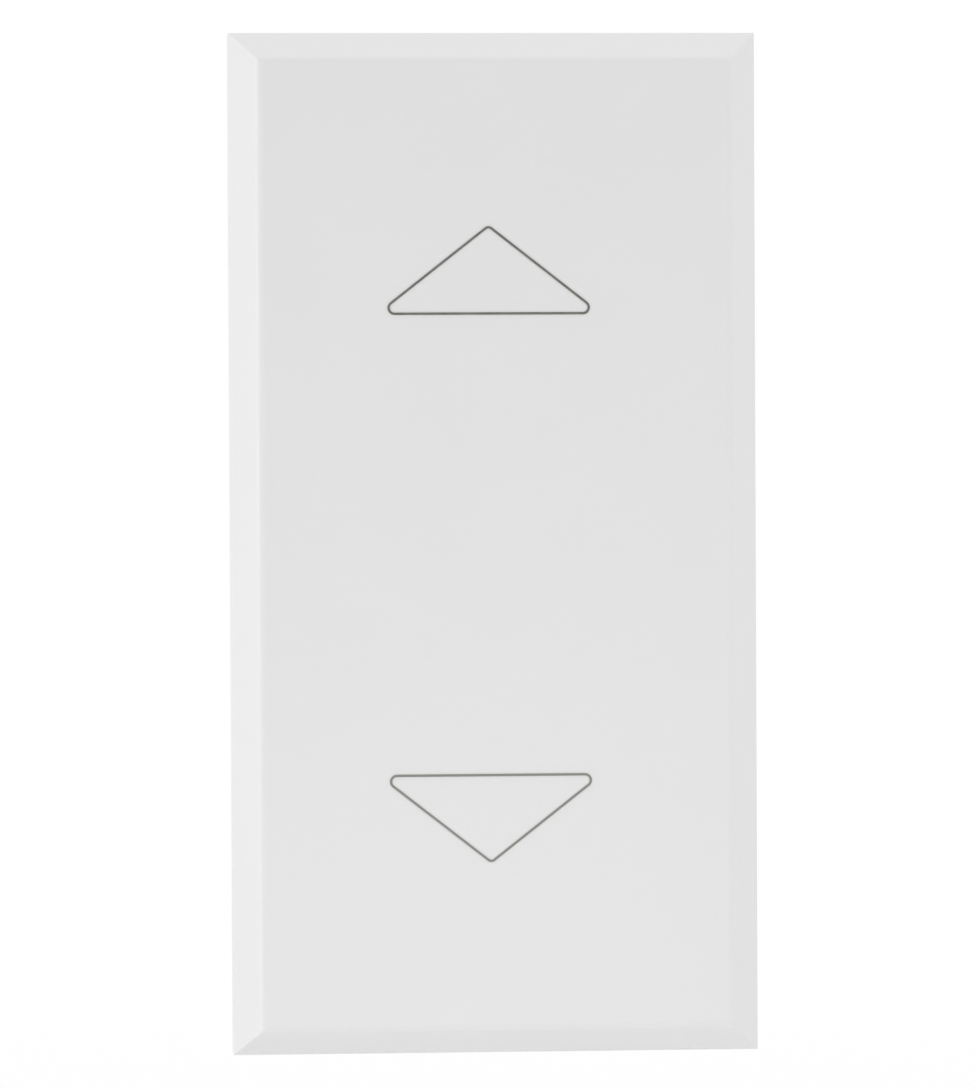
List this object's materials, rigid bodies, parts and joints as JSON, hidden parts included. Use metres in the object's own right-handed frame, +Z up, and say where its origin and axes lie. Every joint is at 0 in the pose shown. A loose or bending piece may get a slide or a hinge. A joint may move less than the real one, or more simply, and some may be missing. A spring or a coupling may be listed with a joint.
{
  "type": "double push-button switch",
  "caption": "One-module flush double push-button with a centre-off sprung rocker key, bevelled edges and thin up and down triangles.",
  "frame": {"origin": "middle of the plane where the flange seats on its mounting frame", "axes": "+Z up along the key, +X to the right across it, +Y back into the wall; the key faces -Y"},
  "size_m": [0.0224, 0.0332, 0.0434],
  "materials": {
    "key_plastic": "satin moulded",
    "arrow_ink": "printed",
    "carrier_plastic": "moulded",
    "housing_plastic": "moulded",
    "block_plastic": "moulded",
    "cover_plastic": "moulded",
    "plunger_plastic": "moulded",
    "bridge_brass": "stamped",
    "contact_brass": "stamped",
    "contact_tip": "plain silver",
    "spring_steel": "drawn wire",
    "clamp_steel": "plated",
    "screw_steel": "plated"
  },
  "bodies": {
    "housing": {"front_housing": "housing_plastic", "contact_block": "block_plastic", "rear_cover": "cover_plastic", "fixed_contact_tips": "contact_tip", "upper_return_spring": "spring_steel", "lower_return_spring": "spring_steel", "upper_left_contact": "contact_brass", "upper_right_contact": "contact_brass", "lower_left_contact": "contact_brass", "lower_right_contact": "contact_brass"},
    "rocker": {"rocker_key": "key_plastic", "up_arrow_mark": "arrow_ink", "down_arrow_mark": "arrow_ink", "rocker_carrier": "carrier_plastic"},
    "upper_pusher": {"upper_plunger": "plunger_plastic", "upper_bridge": "bridge_brass", "upper_bridge_tips": "contact_tip"},
    "lower_pusher": {"lower_plunger": "plunger_plastic", "lower_bridge": "bridge_brass", "lower_bridge_tips": "contact_tip"},
    "upper_left_screw_body": {"upper_left_screw": "screw_steel"},
    "upper_left_clamp_body": {"upper_left_clamp": "clamp_steel"},
    "upper_right_screw_body": {"upper_right_screw": "screw_steel"},
    "upper_right_clamp_body": {"upper_right_clamp": "clamp_steel"},
    "lower_left_screw_body": {"lower_left_screw": "screw_steel"},
    "lower_left_clamp_body": {"lower_left_clamp": "clamp_steel"},
    "lower_right_screw_body": {"lower_right_screw": "screw_steel"},
    "lower_right_clamp_body": {"lower_right_clamp": "clamp_steel"}
  },
  "joints": [
    {"name": "rocker_tilt", "type": "hinge", "parent": "housing", "child": "rocker", "pos_m": [0, -0.00419, 0], "axis": [-1, 0, 0], "range_deg": [-5, 5], "stiffness_Nm_per_rad": 0.306},
    {"name": "upper_plunger_travel", "type": "slide", "parent": "housing", "child": "upper_pusher", "axis": [0, 1, 0], "range_m": [-0.00113, 0.00113], "deforming": ["upper_return_spring"]},
    {"name": "lower_plunger_travel", "type": "slide", "parent": "housing", "child": "lower_pusher", "axis": [0, 1, 0], "range_m": [-0.00113, 0.00113], "deforming": ["lower_return_spring"]},
    {"name": "upper_left_screw_turn", "type": "hinge", "parent": "housing", "child": "upper_left_screw_body", "pos_m": [-0.0056, 0.01695, 0.01203], "axis": [0, 0, -1], "range_deg": [0, 1440.1]},
    {"name": "upper_left_clamp_rise", "type": "slide", "parent": "housing", "child": "upper_left_clamp_body", "axis": [0, 0, 1], "range_m": [0, 0.0028]},
    {"name": "upper_right_screw_turn", "type": "hinge", "parent": "housing", "child": "upper_right_screw_body", "pos_m": [0.0056, 0.01695, 0.01203], "axis": [0, 0, -1], "range_deg": [0, 1440.1]},
    {"name": "upper_right_clamp_rise", "type": "slide", "parent": "housing", "child": "upper_right_clamp_body", "axis": [0, 0, 1], "range_m": [0, 0.0028]},
    {"name": "lower_left_screw_turn", "type": "hinge", "parent": "housing", "child": "lower_left_screw_body", "pos_m": [-0.0056, 0.01695, -0.01203], "axis": [0, 0, 1], "range_deg": [0, 1440.1]},
    {"name": "lower_left_clamp_rise", "type": "slide", "parent": "housing", "child": "lower_left_clamp_body", "axis": [0, 0, -1], "range_m": [0, 0.0028]},
    {"name": "lower_right_screw_turn", "type": "hinge", "parent": "housing", "child": "lower_right_screw_body", "pos_m": [0.0056, 0.01695, -0.01203], "axis": [0, 0, 1], "range_deg": [0, 1440.1]},
    {"name": "lower_right_clamp_rise", "type": "slide", "parent": "housing", "child": "lower_right_clamp_body", "axis": [0, 0, -1], "range_m": [0, 0.0028]}
  ],
  "couplings": [
    {"joint": "rocker_tilt", "follows": "upper_plunger_travel", "rad_per_m": 76.923},
    {"joint": "lower_plunger_travel", "follows": "upper_plunger_travel", "ratio": -1},
    {"joint": "upper_left_screw_turn", "follows": "upper_left_clamp_rise", "rad_per_m": 8976},
    {"joint": "upper_right_screw_turn", "follows": "upper_right_clamp_rise", "rad_per_m": 8976},
    {"joint": "lower_left_screw_turn", "follows": "lower_left_clamp_rise", "rad_per_m": 8976},
    {"joint": "lower_right_screw_turn", "follows": "lower_right_clamp_rise", "rad_per_m": 8976}
  ]
}
